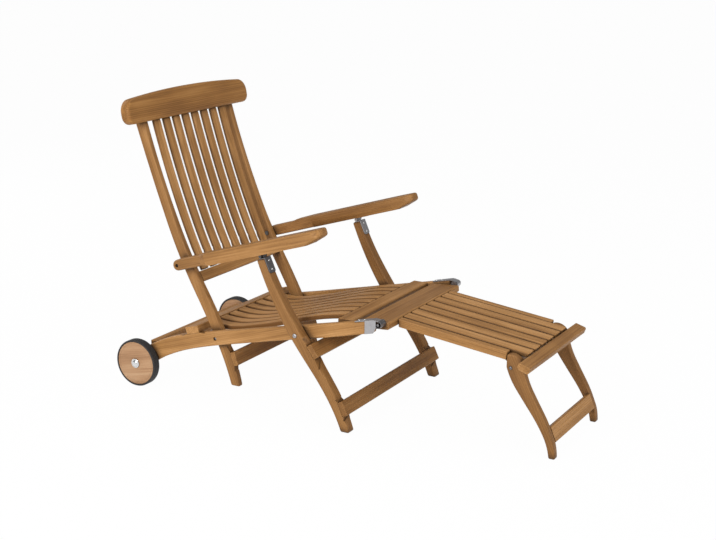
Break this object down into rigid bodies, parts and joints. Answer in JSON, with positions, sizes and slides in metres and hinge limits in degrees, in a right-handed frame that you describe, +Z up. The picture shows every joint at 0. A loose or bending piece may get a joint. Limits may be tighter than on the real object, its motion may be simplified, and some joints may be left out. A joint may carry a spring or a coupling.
{
  "type": "steamer deck chair",
  "caption": "Folding slatted wooden deck chair with curved back, arm rests, hinged leg rest and a pair of wheels under its head end.",
  "frame": {"origin": "on the floor, under the centre of the chair's overall box", "axes": "+X from the back towards the leg rest, +Y to the sitter's left, +Z up"},
  "size_m": [1.463, 0.634, 0.9353],
  "materials": {
    "teak": "oiled, planed smooth, warm honey brown",
    "teak_crest": "oiled, a darker brown than the rest",
    "teak_pale": "oiled, paler than the frame",
    "steel": "dull satin steel",
    "tyre": "matt black rubber"
  },
  "bodies": {
    "seat": {"side_rail_left": "teak", "side_rail_right": "teak", "rear_crossbar": "teak", "axle_beam": "teak", "front_crossbar": "teak", "rail_cap_left": "steel", "rail_cap_right": "steel", "axle": "steel", "pivot_bolts": "steel", "seat_slat_1": "teak", "seat_slat_2": "teak", "seat_slat_3": "teak", "seat_slat_4": "teak", "seat_slat_5": "teak", "seat_slat_6": "teak", "seat_slat_7": "teak", "seat_slat_8": "teak"},
    "back": {"stile_left": "teak", "stile_right": "teak", "crest_rail": "teak_crest", "lower_back_rail": "teak", "rear_leg_stretcher": "teak", "arm_bolts": "steel", "back_slat_1": "teak", "back_slat_2": "teak", "back_slat_3": "teak", "back_slat_4": "teak", "back_slat_5": "teak", "back_slat_6": "teak", "back_slat_7": "teak", "back_slat_8": "teak"},
    "left_arm": {"arm_left": "teak", "arm_hinge_left": "steel"},
    "right_arm": {"arm_right": "teak", "arm_hinge_right": "steel"},
    "front_legs": {"front_leg_left": "teak", "front_leg_right": "teak", "upper_stretcher": "teak", "lower_stretcher": "teak", "leg_hinges": "steel"},
    "leg_rest": {"head_rail": "teak", "foot_rail_left": "teak", "foot_rail_right": "teak", "end_crossbar": "teak", "leg_bearer": "teak", "foot_leg_bolts": "steel", "rest_hinges": "steel", "foot_slat_1": "teak", "foot_slat_2": "teak", "foot_slat_3": "teak", "foot_slat_4": "teak", "foot_slat_5": "teak", "foot_slat_6": "teak"},
    "leg_rest_legs": {"foot_leg_left": "teak", "foot_leg_right": "teak", "foot_stretcher": "teak"},
    "left_wheel": {"wheel_disc_left": "teak_pale", "tyre_left": "tyre"},
    "right_wheel": {"wheel_disc_right": "teak_pale", "tyre_right": "tyre"}
  },
  "joints": [
    {"name": "back_hinge", "type": "hinge", "parent": "seat", "child": "back", "pos_m": [-0.36175, 0, 0.197], "axis": [0, 1, 0], "range_deg": [0, 87]},
    {"name": "front_leg_hinge", "type": "hinge", "parent": "seat", "child": "front_legs", "pos_m": [-0.04475, 0, 0.27], "axis": [0, 1, 0], "range_deg": [0, 87]},
    {"name": "left_arm_hinge", "type": "hinge", "parent": "back", "child": "left_arm", "pos_m": [-0.48175, 0.2605, 0.42], "axis": [0, 1, 0], "range_deg": [-87, 0]},
    {"name": "right_arm_hinge", "type": "hinge", "parent": "back", "child": "right_arm", "pos_m": [-0.48175, -0.2605, 0.42], "axis": [0, 1, 0], "range_deg": [-87, 0]},
    {"name": "leg_rest_hinge", "type": "hinge", "parent": "seat", "child": "leg_rest", "pos_m": [0.21325, 0, 0.334], "axis": [0, 1, 0], "range_deg": [0, 70]},
    {"name": "leg_rest_leg_hinge", "type": "hinge", "parent": "leg_rest", "child": "leg_rest_legs", "pos_m": [0.58925, 0, 0.247], "axis": [0, 1, 0], "range_deg": [0, 116]},
    {"name": "left_wheel_spin", "type": "hinge", "parent": "seat", "child": "left_wheel", "pos_m": [-0.65375, 0.278, 0.076], "axis": [0, 1, 0], "continuous": true},
    {"name": "right_wheel_spin", "type": "hinge", "parent": "seat", "child": "right_wheel", "pos_m": [-0.65375, -0.278, 0.076], "axis": [0, 1, 0], "continuous": true}
  ],
  "couplings": [
    {"joint": "front_leg_hinge", "follows": "back_hinge", "ratio": 1},
    {"joint": "left_arm_hinge", "follows": "back_hinge", "ratio": -1},
    {"joint": "right_arm_hinge", "follows": "back_hinge", "ratio": -1}
  ]
}
